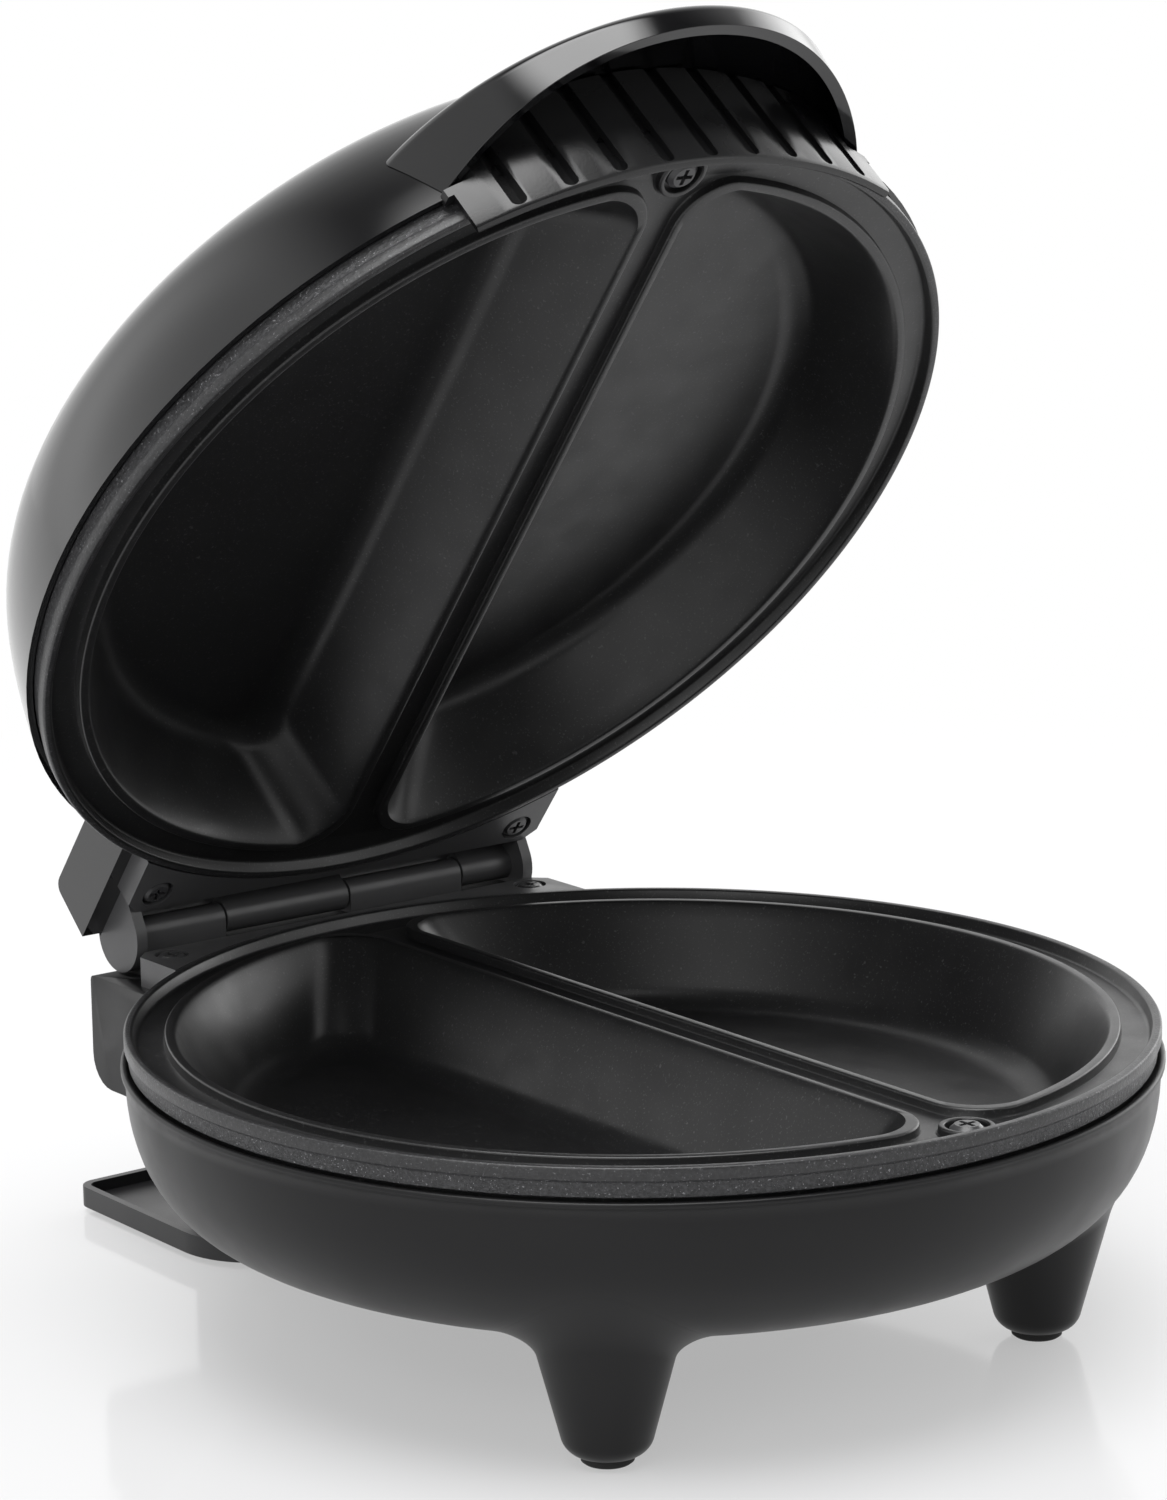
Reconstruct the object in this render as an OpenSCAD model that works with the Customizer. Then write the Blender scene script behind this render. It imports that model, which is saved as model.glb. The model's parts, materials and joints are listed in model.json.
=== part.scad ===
// Electric omelette maker, standing open on its rear hinge. Lengths are in millimetres.
// Base pieces are drawn about the axis of the round plates, with the table at z = 0, +X to the right
// and +Y towards the hinge. Lid pieces are drawn closed and then swung open about the hinge.
// The frame's origin is the middle of the footprint of the opened appliance, on the table.

/* [Cooking plates] */
// Outer radius of both round cooking plates
plate_r = 104; // [100:0.5:108]
// Height of the lower plate's rim above the table
plate_rim_z = 64.8; // [62:0.2:68]
// Gap between the two rims when the lid is shut
lid_gap = 1; // [0.6:0.1:1.6]
// Thickness of the cast plates
plate_wall = 2.5; // [2:0.1:3]
// Width of the rim zone outside the pockets
rim_w = 10; // [9:0.5:12]
// Depth of each half-moon pocket
pocket_depth = 22; // [18:0.5:23]
// Slope of the pocket walls away from the vertical, in degrees
pocket_slope = 28; // [20:1:30]
// Corner radius of the pocket outline
pocket_corner_r = 9; // [7:0.5:12]
// Radius between pocket wall and pocket floor
floor_fillet_r = 8; // [5:0.5:9]
// Width of the divider between the two pockets
divider_w = 11; // [10:0.5:14]
// Width of the raised lip round each pocket
lip_w = 1.9; // [1.5:0.1:2.3]
// How far the lip's top lies below the rim
lip_drop = 0.5; // [0.2:0.1:1]
// Depth of the overflow channel below the rim
channel_depth = 2.5; // [2:0.1:3]
// Width of the flat crest that runs round the rim
crest_w = 1.7; // [1.3:0.1:2.2]
// Height of the smooth wall above the blasted band on the plate's side
smooth_band_h = 2.6; // [2:0.1:3]
// Height of the plate's side that shows above its housing
side_h = 6.1; // [5.5:0.1:6.3]
// Distance of the plate's fixing screw in from the plate's edge
plate_screw_in = 7; // [6.7:0.1:7.3]

/* [Base] */
// Wall thickness of the moulded housings
wall = 2.2; // [1.8:0.1:2.6]
// How far a housing's rim stands out beyond the plate
rim_step = 0.8; // [0.6:0.1:1.2]
// Drop from the lower plate's rim to the base housing's rim
base_rim_drop = 6.5; // [6.4:0.1:7]
// Height of the bowl's flat underside above the table
bowl_floor_z = 23.5; // [22:0.5:25]
// Radius of the bowl's flat underside
bowl_floor_r = 50; // [44:1:56]
// Distance of each front foot from the middle, sideways
foot_x = 54.8; // [50:0.5:58]
// Distance of the front feet in front of the plate's axis
foot_y = 58.1; // [54:0.5:62]
// Radius of a front foot near its tip
foot_tip_r = 9; // [8:0.25:10]
// Radius of a front foot where it starts to flare into the bowl
foot_top_r = 12.8; // [11.5:0.25:14]
// Thickness of the rubber pads under the feet
pad_t = 1.5; // [1.2:0.1:2.5]

/* [Rear] */
// Half the width of the moulded boxes behind the plates
box_half_w = 57.5; // [56:0.5:60]
// How far the base's rear box reaches behind the hinge axis
base_box_back = 3.8; // [3:0.2:5]
// Height of the rear box's underside above the table
base_box_floor_z = 34; // [32:0.5:37]
// Half the width of the cord-wrap foot plate
wrap_half_w = 52.5; // [46:0.5:56]
// Depth of the foot plate behind the hinge axis
wrap_back = 21.6; // [18:0.2:26]
// Distance of the foot plate's front edge in from the plates' edge
wrap_in = 32; // [28:1:36]
// Radius of the foot plate's front corners
wrap_corner_r = 20; // [12:1:26]
// Thickness of the foot plate
wrap_t = 2; // [1.6:0.1:3]
// Distance of the column's front in from the plates' edge
column_in = 20; // [16:1:24]
// How far the column reaches behind the plates' edge
column_back = 10; // [8:1:12]
// Distance of the foot's screws from the middle, sideways
wrap_screw_x = 24; // [20:1:28]
// Half the width of the column that the cord winds round
column_half_w = 36; // [30:1:40]
// Height of the lip round the foot plate
wrap_lip_h = 2.6; // [1.5:0.1:4]
// Radius of the passage through the cord bush
cord_r = 3.6; // [3:0.1:4.2]

/* [Hinge] */
// Distance of the hinge axis behind the plate's edge
hinge_back = 10.4; // [10:0.1:12]
// Height of the hinge axis above the lower plate's rim
hinge_up = 1.8; // [1.6:0.1:2]
// Radius of the hinge knuckles
knuckle_r = 3.4; // [3.2:0.1:3.6]
// Radius of the hinge pin
pin_r = 2; // [1.6:0.1:2.2]
// Radial running clearance round the pin
pin_clear = 0.05; // [0.03:0.01:0.08]
// Thickness of each of the two ears that close off the pin
ear_t = 2.6; // [2:0.2:3]
// Distance of the ears' outer faces in from the ends of the leaves
ear_in = 1.6; // [1:0.1:2.4]
// Radius of the round end of each ear
ear_r = 7.8; // [7:0.1:7.9]
// Half the width of the two hinge leaves
leaf_half_w = 54.2; // [53.5:0.1:55.5]
// Distance of the leaf screws in from the ends of the leaves
leaf_screw_side = 6.6; // [6:0.2:8]
// Distance of the leaf screws in front of the hinge axis
leaf_screw_in = 13.4; // [13:0.2:14]
// Length of the leaves in front of the hinge axis
leaf_len = 26.4; // [24:0.2:30]
// How far the lid stands open, in degrees
lid_open = 52; // [0:1:100]

/* [Lid] */
// Height of the lid housing's rim above the upper plate's rim
lid_rim_up = 5.7; // [5.4:0.1:5.9]
// How far the lid's rim stands out beyond the plate
lid_step = 1; // [0.8:0.1:1.6]
// Width of the dome's rounded shoulder
shoulder_w = 39; // [33:1:44]
// Height of the dome's shoulder above its rim
shoulder_h = 33; // [33:0.5:38]
// Extra height of the crown in the middle
crown_h = 2.4; // [1.5:0.1:4]
// Height of the rear box on the lid
lid_box_h = 13.9; // [12:0.2:16]
// How far the lid's rear box reaches behind the hinge axis
lid_box_back = 4.4; // [3.6:0.1:4.6]

/* [Handle] */
// Radius of the hood in plan
hood_r = 55.5; // [54:0.5:58]
// How far the hood's front edge stands out beyond the plate
hood_reach = 22.5; // [19:0.5:25]
// Wall thickness of the hood
hood_wall = 2.4; // [2:0.1:2.8]
// Height of the hood's lip above the upper plate's rim, in the middle
lip_up = 11.2; // [10.5:0.1:12]
// How much lower the lip lies at its two ends
lip_dip = 4.3; // [4:0.1:4.8]
// Height of the hood's top edge above the upper plate's rim, at the front
hood_edge_up = 16.9; // [15.5:0.1:18]
// Lean of the hood's top edge, in degrees, rising from front to back
hood_tilt = 8; // [7:0.5:9]
// Fall of the hood's top, per millimetre outwards
hood_fall = 0.26; // [0.22:0.01:0.3]
// Radius of the hood's rounded top edge
hood_round_r = 2.6; // [1.5:0.1:3]
// Thickness of the finger guard below the lid's rim
guard_t = 2; // [1.8:0.1:2.6]
// How far the finger guard reaches below the upper plate's rim
guard_drop = 4.6; // [3.5:0.1:5]
// Half the width of the finger guard
guard_half_w = 51.6; // [50:0.2:52.5]
// Number of grooves in the guard
groove_count = 9; // [5:2:9]
// Spacing of the grooves
groove_pitch = 10.4; // [9.6:0.1:10.6]
// Width of a groove
groove_w = 3; // [2.4:0.1:3.6]
// Depth of a groove
groove_deep = 1.3; // [0.8:0.1:1.4]

/* [Heating] */
// Radius of the element's tube
tube_r = 3.3; // [3:0.1:3.5]
// Distance of the element's ring in from the plate's edge
ring_in = 52; // [48:1:58]
// How far the sheet reflectors reach beyond the ring
reflector_w = 23; // [18:0.5:24]
// Thickness of the sheet reflectors
sheet_t = 0.8; // [0.6:0.1:1]
// Radius of an indicator lens
lens_r = 4; // [3:0.25:4.5]
// Distance of the lenses in from the lid's edge
lens_in = 18; // [17.5:0.5:20]
// Distance of each lens from the middle, sideways
lens_x = 10; // [8:0.5:14]

/* [Screws] */
// Radius of the screws' threads
screw_r = 1.6; // [1.4:0.1:1.8]
// Radius of the pan heads
head_r = 3.3; // [3:0.1:3.4]
// Height of the pan heads
head_h = 1.8; // [1.5:0.1:2]

/* [Hidden] */

seat = 0.1;             // clearance of parts that rest against each other on curved faces
run = 0.4;              // clearance of parts that pass each other
cut = 1;                // how far a cutting tool reaches past what it cuts
fine = 180;             // facets of large turned shapes
round_fn = 48;          // facets of small turned shapes
hull_fn = 32;           // facets inside hulls
pocket_fn = 80;         // facets of the pockets' round side

// plates
pocket_r = plate_r - rim_w;
plate_screw_y = plate_r - plate_screw_in;
upper_rim_z = plate_rim_z + lid_gap;
band_r = plate_r - 0.8;               // blasted band on the plate's side
skirt_r = plate_r - 2.4;              // part of the plate that drops into its housing
skirt_h = side_h + 2.3;               // rim to the bottom of the skirt
body_under = channel_depth + plate_wall;   // rim to the underside of the rim zone
floor_under = pocket_depth + plate_wall;   // rim to the underside of the pocket floor
stud_r = 4;
stud_len = floor_under + 2 * tube_r - body_under;

// base
base_rim_z = plate_rim_z - base_rim_drop;
base_r = plate_r + rim_step;
bowl_r = plate_r;                     // bowl just below its rim bead
rebate_r = band_r + run;              // inside of the housings' rims
ledge_z = plate_rim_z - skirt_h;      // ledge that the lower plate's skirt stands on
hinge_y = plate_r + hinge_back;
hinge_z = plate_rim_z + hinge_up;
box_back = hinge_y + base_box_back;
inlet_z = base_rim_z - 10.5;          // height of the cord bush
wrap_y1 = hinge_y + wrap_back;
wrap_y0 = plate_r - wrap_in;
wrap_z = pad_t;                       // underside of the foot plate
column_y0 = plate_r - column_in;
column_y1 = plate_r + column_back;
wrap_screw_y = column_y1 - 6;
origin_y = (base_r - wrap_y1) / 2;    // plate axis, seen from the middle of the footprint

// lid
lid_rim_z = upper_rim_z + lid_rim_up;
dome_r = plate_r + lid_step;
shoulder_r = dome_r - shoulder_w;     // radius at which the shoulder turns into the crown
lens_y = dome_r - lens_in;
lid_ledge_z = upper_rim_z + skirt_h;
dome_power = 6.5;                     // squareness of the dome's shoulder
bowl_power = 2.3;                     // fullness of the bowl's lower side
bowl_round = 4.2;                     // squareness of the bowl
lid_box_y1 = hinge_y + lid_box_back;
lid_box_y0 = hinge_y - 34;

// hinge
leaf_gap = 0.2;                       // leaf faces lie this far outside the plates' rim planes
base_leaf_z = plate_rim_z - leaf_gap;
lid_leaf_z = upper_rim_z + leaf_gap;
leaf_y0 = hinge_y - leaf_len;
leaf_y1 = hinge_y - ear_r - 0.6;      // rear end of the wide part of a leaf
leaf_screw_y = hinge_y - leaf_screw_in;
leaf_screw_x = leaf_half_w - leaf_screw_side;
ear_x = leaf_half_w - ear_in - ear_t; // inner faces of the ears
web_z = knuckle_r + run + 0.2;        // knuckle clearance above and below the axis
knuckle_gap = 0.6;
knuckle_x = [-ear_x + run, -27, 5.4, 36.1, ear_x - run];

// handle
hood_y = plate_r + hood_reach - hood_r;    // the hood's axis lies this far in front of the middle
hood_edge_z = upper_rim_z + hood_edge_up;
guard_in = plate_r + run;
guard_r = guard_in + guard_t;
guard_z0 = upper_rim_z - guard_drop;
guard_step_z = lid_rim_z + 0.9;       // the guard narrows above here to go inside the hood
lip_z = upper_rim_z + lip_up;

// heating
lower_tube_z = plate_rim_z - floor_under - tube_r;
upper_tube_z = upper_rim_z + floor_under + tube_r;
ring_r = plate_r - ring_in;
reflector_r = ring_r + reflector_w;
stud_y = ring_r - 10;                 // cast studs below the divider, in front, middle and rear
leg_x = 8;                            // the element's two cold ends lie this far off the middle
leg_y1 = reflector_r + 2;
boss_h = 21;

// ---------------------------------------------------------------- placing
module in_base() { translate([0, origin_y, 0]) children(); }

module in_lid() {
    translate([0, origin_y + hinge_y, hinge_z])
        rotate([-lid_open, 0, 0])
            translate([0, -hinge_y, -hinge_z])
                children();
}

// turns a plate or element drawn for the base over, so that it faces down from the lid
module turned_over() {
    translate([0, 0, upper_rim_z + plate_rim_z]) mirror([0, 0, 1]) children();
}

module mirror_x() { children(); mirror([1, 0, 0]) children(); }

module revolve(points) { rotate_extrude($fn = fine) polygon(points); }

module rod_x(x0, x1, r) { translate([x0, 0, 0]) rotate([0, 90, 0]) cylinder(r = r, h = x1 - x0, $fn = round_fn); }

// extrudes an outline in Y and Z along X
module along_x(x0, x1, points) {
    translate([x0, 0, 0]) rotate([90, 0, 90]) linear_extrude(x1 - x0) polygon(points);
}

function arc(cy, cz, r, a0, a1, n = 6) = [for (i = [0:n]) let (a = a0 + (a1 - a0) * i / n) [cy + r * cos(a), cz + r * sin(a)]];

// pan-head screw with a cross recess, head up, its head's underside at z = 0
module screw(length) {
    difference() {
        union() {
            cylinder(r = head_r, h = head_h * 0.55, $fn = round_fn);
            translate([0, 0, head_h * 0.55]) cylinder(r1 = head_r, r2 = head_r * 0.72, h = head_h * 0.45, $fn = round_fn);
            translate([0, 0, -length]) cylinder(r = screw_r, h = length, $fn = round_fn);
        }
        for (a = [0, 90]) rotate([0, 0, a]) translate([-head_r * 0.58, -0.45, head_h * 0.35]) cube([head_r * 1.16, 0.9, head_h]);
    }
}

// ---------------------------------------------------------------- plates
// half-moon outline of a pocket, drawn in by inset; a negative inset grows it
module half_moon(inset, corner) {
    edge_x = divider_w / 2 + inset;
    reach = pocket_r - inset;
    offset(r = corner, $fn = hull_fn) offset(delta = -corner)
        intersection() {
            circle(reach, $fn = pocket_fn);
            translate([edge_x, -reach]) square([reach, 2 * reach]);
        }
}

// a pocket's inside for grow = 0, or its underside for grow = plate_wall
module pocket(grow, top) {
    fillet_c = pocket_depth - floor_fillet_r;
    inset_c = fillet_c * tan(pocket_slope) + floor_fillet_r / cos(pocket_slope);
    r = floor_fillet_r + grow;
    turn = [for (i = [0:4]) pocket_slope + (90 - pocket_slope) * i / 4];
    hull() {
        translate([0, 0, plate_rim_z + top])
            linear_extrude(0.01) half_moon(-grow / cos(pocket_slope) - top * tan(pocket_slope), pocket_corner_r + grow);
        for (a = turn)
            translate([0, 0, plate_rim_z - fillet_c - r * sin(a)])
                linear_extrude(0.01) half_moon(inset_c - r * cos(a), pocket_corner_r + grow);
    }
}

module plate_body() {
    rim = plate_rim_z;
    revolve([
        [0, rim - body_under], [skirt_r - plate_wall, rim - body_under],
        [skirt_r - plate_wall, rim - skirt_h], [skirt_r, rim - skirt_h], [skirt_r, rim - side_h],
        [band_r, rim - side_h], [band_r, rim - smooth_band_h - 0.4], [plate_r, rim - smooth_band_h],
        [plate_r, rim - 0.4], [plate_r - 0.4, rim], [plate_r - crest_w, rim],
        [plate_r - crest_w - 0.8, rim - channel_depth], [0, rim - channel_depth],
    ]);
}

module plate() {
    rim = plate_rim_z;
    difference() {
        union() {
            plate_body();
            // raised lips round the pockets
            mirror_x() translate([0, 0, rim - channel_depth])
                linear_extrude(channel_depth - lip_drop) half_moon(-lip_w, pocket_corner_r + lip_w);
            mirror_x() pocket(plate_wall, -channel_depth);
            // boss for the fixing screw
            translate([0, -plate_screw_y, rim - channel_depth]) cylinder(r = 5.4, h = channel_depth - 0.9, $fn = round_fn);
            // cast studs that carry the reflector
            for (y = [-stud_y, 0, stud_y])
                translate([0, y, rim - body_under - stud_len]) cylinder(r = stud_r, h = stud_len + cut, $fn = round_fn);
        }
        mirror_x() pocket(0, cut);
        translate([0, -plate_screw_y, rim - channel_depth]) cylinder(r = head_r + 0.9, h = channel_depth, $fn = round_fn);
        translate([0, -plate_screw_y, rim - body_under - cut]) cylinder(r = screw_r + seat, h = body_under + cut, $fn = round_fn);
        for (y = [-stud_y, 0, stud_y])
            translate([0, y, rim - body_under - stud_len - cut]) cylinder(r = screw_r, h = 9 + cut, $fn = round_fn);
    }
}

// boss under a plate's fixing screw, trimmed clear of the plate's skirt
module plate_boss() {
    intersection() {
        translate([0, -plate_screw_y, 0]) cylinder(r = 4, h = boss_h, $fn = round_fn);
        cylinder(r = skirt_r - plate_wall - seat, h = boss_h, $fn = fine);
    }
}

// the screw that holds a plate to its housing
module plate_screw() { translate([0, -plate_screw_y, plate_rim_z - channel_depth]) screw(16); }

module element() {
    start = asin(leg_x / ring_r);
    translate([0, 0, lower_tube_z]) {
        rotate([0, 0, 90 + start]) rotate_extrude(angle = 360 - 2 * start, $fn = 120)
            translate([ring_r, 0]) circle(tube_r, $fn = 32);
        // cold ends, straight out to the terminals
        mirror_x() translate([leg_x + 1, ring_r - 2, 0])
            rotate([-90, 0, 0]) cylinder(r = tube_r - 0.3, h = leg_y1 - ring_r + 2, $fn = 32);
    }
}

// ceramic beads and terminal studs on the element's cold ends
module insulators() {
    mirror_x() translate([leg_x + 1, leg_y1, lower_tube_z]) rotate([-90, 0, 0]) {
        cylinder(r = tube_r + 0.6, h = 5, $fn = round_fn);
        cylinder(r = 1.2, h = 9, $fn = 24);
    }
}

module reflector() {
    z = lower_tube_z - tube_r;
    difference() {
        revolve([
            [0, z - sheet_t], [reflector_r - 4, z - sheet_t], [reflector_r, z + 3.2], [reflector_r + 3, z + 3.2],
            [reflector_r + 3, z + 3.2 + sheet_t], [reflector_r - 0.5, z + 3.2 + sheet_t], [reflector_r - 4.4, z], [0, z],
        ]);
        for (y = [-stud_y, 0, stud_y])
            translate([0, y, z - sheet_t - cut]) cylinder(r = screw_r + seat, h = sheet_t + 2 * cut, $fn = round_fn);
        translate([-leg_x - tube_r - 1, ring_r + 14, z]) cube([2 * (leg_x + tube_r + 1), reflector_r, 6]);
    }
}

module reflector_screws() {
    for (y = [-stud_y, 0, stud_y])
        translate([0, y, lower_tube_z - tube_r - sheet_t]) mirror([0, 0, 1]) screw(8);
}

// ---------------------------------------------------------------- base
// radius of the bowl, from t = 0 just below the rim to t = 1 at the floor
function bowl_at(t, r) = bowl_floor_r + (r - bowl_floor_r) * pow(1 - pow(t, bowl_power), 1 / bowl_round);

// bowl outline grown inwards by the wall; steps are closer together near the floor
function bowl_curve(in) = [for (i = [0:24]) let (t = 1 - pow(1 - i / 24, 2.2), z0 = bowl_floor_z + in)
    [bowl_at(t, bowl_r - in), base_rim_z - 1.2 - (base_rim_z - 1.2 - z0) * t]];

module bowl_solid() {
    revolve(concat([[0, bowl_floor_z]], [for (i = [24:-1:0]) bowl_curve(0)[i]],
        [[base_r, base_rim_z - 1], [base_r, base_rim_z - 0.3], [base_r - 0.3, base_rim_z], [0, base_rim_z]]));
}

module bowl_inside() {
    revolve(concat([[0, bowl_floor_z + wall]], [for (p = [for (i = [24:-1:0]) bowl_curve(wall)[i]]) if (p[1] < ledge_z) p],
        [[skirt_r - 0.6, ledge_z], [rebate_r, ledge_z], [rebate_r, base_rim_z + cut], [0, base_rim_z + cut]]));
}

function base_box_outline(in) = concat(
    [[pocket_r - 20, base_box_floor_z + in]],
    arc(box_back - 7, base_box_floor_z + 7, 7 - in, 270, 360, 6),
    arc(box_back - 1.2 - in, base_rim_z - 1.2 - in, 1.2, 0, 90, 3),
    [[pocket_r - 20, base_rim_z - in]]);

module base_box(in) { along_x(-box_half_w + in, box_half_w - in, base_box_outline(in)); }

module front_foot() {
    flare_z = bowl_floor_z - 2;
    flare_r = foot_top_r + 0.4;
    rotate_extrude($fn = 64) polygon(concat(
        [[0, pad_t], [foot_tip_r - 3.6, pad_t]],
        arc(foot_tip_r - 3.4, pad_t + 3.4, 3.4, 285, 352, 5),
        [[flare_r, flare_z]],
        [for (i = [1:6]) let (a = 60 * i / 6) [flare_r + 4 * (1 - cos(a)), flare_z + 4 * sin(a)]],
        [[flare_r + 4.5, flare_z + 14], [0, flare_z + 14]]));
}

module base_housing() color([0.17, 0.17, 0.18]) in_base() difference() {
    union() {
        difference() {
            union() {
                bowl_solid();
                base_box(0);
            }
            bowl_inside();
            base_box(wall);
        }
        // bosses: plate screw in front, leaf screws and wrap foot screws behind
        translate([0, 0, plate_rim_z - body_under - boss_h]) plate_boss();
        mirror_x() translate([leaf_screw_x, leaf_screw_y, base_rim_z - 14]) cylinder(r = 4, h = 13, $fn = round_fn);
        mirror_x() translate([wrap_screw_x, wrap_screw_y, base_box_floor_z + 1]) cylinder(r = 4, h = 9, $fn = round_fn);
        // front feet, flaring into the bowl
        mirror_x() difference() {
            translate([foot_x, -foot_y, 0]) front_foot();
            bowl_inside();
        }
    }
    translate([0, -plate_screw_y, base_rim_z - 14]) cylinder(r = screw_r + seat, h = 30, $fn = round_fn);
    mirror_x() translate([leaf_screw_x, leaf_screw_y, base_rim_z - 12]) cylinder(r = screw_r + seat, h = 13, $fn = round_fn);
    mirror_x() translate([wrap_screw_x, wrap_screw_y, base_box_floor_z - cut]) cylinder(r = screw_r + seat, h = 9, $fn = round_fn);
    translate([0, box_back - wall - cut, inlet_z]) rotate([-90, 0, 0]) cylinder(r = cord_r + 2.2, h = wall + 2 * cut, $fn = round_fn);
}

module front_foot_pads() color([0.06, 0.06, 0.06]) in_base() mirror_x()
    translate([foot_x, -foot_y, 0]) rotate_extrude($fn = round_fn)
        polygon([[0, 0], [foot_tip_r - 4.4, 0], [foot_tip_r - 3.9, 0.4], [foot_tip_r - 3.9, pad_t], [0, pad_t]]);

// outline of the cord-wrap foot plate: square at the back, round in front
module wrap_outline(in) {
    hull() {
        mirror_x() translate([wrap_half_w - wrap_corner_r, wrap_y0 + wrap_corner_r]) circle(wrap_corner_r - in, $fn = 64);
        mirror_x() translate([wrap_half_w - 4, wrap_y1 - 4]) circle(4 - min(in, 3), $fn = 32);
    }
}

module cord_wrap_foot() color([0.14, 0.14, 0.15]) in_base() difference() {
    union() {
        translate([0, 0, wrap_z]) difference() {
            linear_extrude(wrap_t + wrap_lip_h) wrap_outline(0);
            translate([0, 0, wrap_t]) linear_extrude(wrap_lip_h + cut) wrap_outline(1.8);
        }
        difference() {
            translate([-column_half_w, column_y0, wrap_z]) cube([2 * column_half_w, column_y1 - column_y0, base_box_floor_z - wrap_z]);
            translate([-column_half_w + wall, column_y0 + wall, wrap_z + wrap_t])
                cube([2 * (column_half_w - wall), column_y1 - column_y0 - 2 * wall, base_box_floor_z]);
        }
        mirror_x() translate([wrap_screw_x, wrap_screw_y, wrap_z]) cylinder(r = 5.5, h = base_box_floor_z - wrap_z, $fn = round_fn);
    }
    bowl_solid();
    mirror_x() translate([wrap_screw_x, wrap_screw_y, wrap_z - cut]) {
        cylinder(r = head_r + 0.5, h = 18 + cut, $fn = round_fn);
        cylinder(r = screw_r + seat, h = base_box_floor_z + 2 * cut, $fn = round_fn);
    }
}

module wrap_foot_pads() color([0.06, 0.06, 0.06]) in_base() mirror_x()
    translate([wrap_half_w - wrap_corner_r + 4, wrap_y0 + wrap_corner_r, 0])
        rotate_extrude($fn = round_fn) polygon([[0, 0], [8.4, 0], [9, 0.5], [9, pad_t], [0, pad_t]]);

module wrap_foot_screws() color([0.6, 0.6, 0.62]) in_base() mirror_x()
    translate([wrap_screw_x, wrap_screw_y, wrap_z + 18]) mirror([0, 0, 1]) screw(base_box_floor_z - wrap_z - 18 + 7);

module lower_plate() color([0.11, 0.11, 0.12]) in_base() plate();
module lower_plate_screw() color([0.25, 0.25, 0.26]) in_base() plate_screw();
module lower_element() color([0.45, 0.44, 0.42]) in_base() element();
module lower_insulators() color([0.9, 0.88, 0.82]) in_base() insulators();
module lower_reflector() color([0.75, 0.75, 0.76]) in_base() reflector();
module lower_reflector_screws() color([0.6, 0.6, 0.62]) in_base() reflector_screws();

// bimetal thermostat, pressed against the underside of the divider
module thermostat() color([0.85, 0.83, 0.78]) in_base() translate([0, stud_y / 2, plate_rim_z - body_under]) mirror([0, 0, 1]) {
    cylinder(r = 5, h = 3, $fn = round_fn);
    translate([0, 0, 3]) cylinder(r = 4.4, h = 9, $fn = round_fn);
    mirror_x() translate([2, -1.5, 12]) cube([0.8, 3, 5]);
}

// thermal fuse in its sleeve, lying along the underside of the divider
module thermal_fuse() color([0.9, 0.9, 0.85]) in_base() translate([0, -stud_y / 2 - 9, plate_rim_z - body_under - 2.4])
    rotate([-90, 0, 0]) {
        cylinder(r = 2.4, h = 18, $fn = round_fn);
        translate([0, 0, -4]) cylinder(r = 0.6, h = 26, $fn = 24);
    }

block_w = 34;
block_z = base_box_floor_z + wall;
module terminal_block() color([0.88, 0.86, 0.8]) in_base() difference() {
    translate([-block_w / 2, column_y1 - 15, block_z]) cube([block_w, 10, 9]);
    for (x = [-11, 0, 11]) {
        translate([x, column_y1 - 16, block_z + 4.5]) rotate([-90, 0, 0]) cylinder(r = 2, h = 12, $fn = round_fn);
        translate([x, column_y1 - 10, block_z + 4.5]) cylinder(r = screw_r, h = 6, $fn = round_fn);
    }
}

module terminal_screws() color([0.75, 0.65, 0.35]) in_base()
    for (x = [-11, 0, 11]) translate([x, column_y1 - 10, block_z + 9]) scale(0.8) screw(2);

// bush that guides the mains lead through the rear wall
module cord_bush() color([0.08, 0.08, 0.08]) in_base() translate([0, box_back, inlet_z]) rotate([-90, 0, 0])
    rotate_extrude($fn = round_fn) polygon([
        [cord_r, -wall - 1.8], [cord_r + 3, -wall - 1.8], [cord_r + 3, -wall], [cord_r + 2.1, -wall],
        [cord_r + 2.1, 0], [cord_r + 3.6, 0], [cord_r + 3.6, 1.4], [cord_r + 2.8, 2.2], [cord_r, 2.2]]);

// ---------------------------------------------------------------- hinge
// knuckle number n of the barrel along the hinge axis
module knuckle(n) {
    x0 = knuckle_x[n] + (n == 0 ? 0 : knuckle_gap / 2);
    x1 = knuckle_x[n + 1] - (n == 3 ? 0 : knuckle_gap / 2);
    translate([0, hinge_y, hinge_z]) rod_x(x0, x1, knuckle_r);
}

// block that ties knuckle n to its leaf, above the axis for side = 1 and below it for side = -1
module knuckle_web(n, side) {
    x0 = knuckle_x[n] + (n == 0 ? 0 : knuckle_gap / 2);
    x1 = knuckle_x[n + 1] - (n == 3 ? 0 : knuckle_gap / 2);
    z0 = side > 0 ? hinge_z : hinge_z - web_z - 0.5;
    translate([x0, hinge_y - knuckle_r, z0]) cube([x1 - x0, 1.7 * knuckle_r, web_z + 0.5]);
}

module pin_bore() { translate([0, hinge_y, hinge_z]) rod_x(-ear_x, ear_x, pin_r + pin_clear); }

// wide plate of a leaf, with chamfered corners at the rear
module leaf_plate(z0, z1) {
    c = 3;
    translate([0, 0, z0]) linear_extrude(z1 - z0) polygon([
        [-leaf_half_w, leaf_y0], [leaf_half_w, leaf_y0], [leaf_half_w, leaf_y1 - c], [leaf_half_w - c, leaf_y1],
        [-leaf_half_w + c, leaf_y1], [-leaf_half_w, leaf_y1 - c]]);
}

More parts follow.
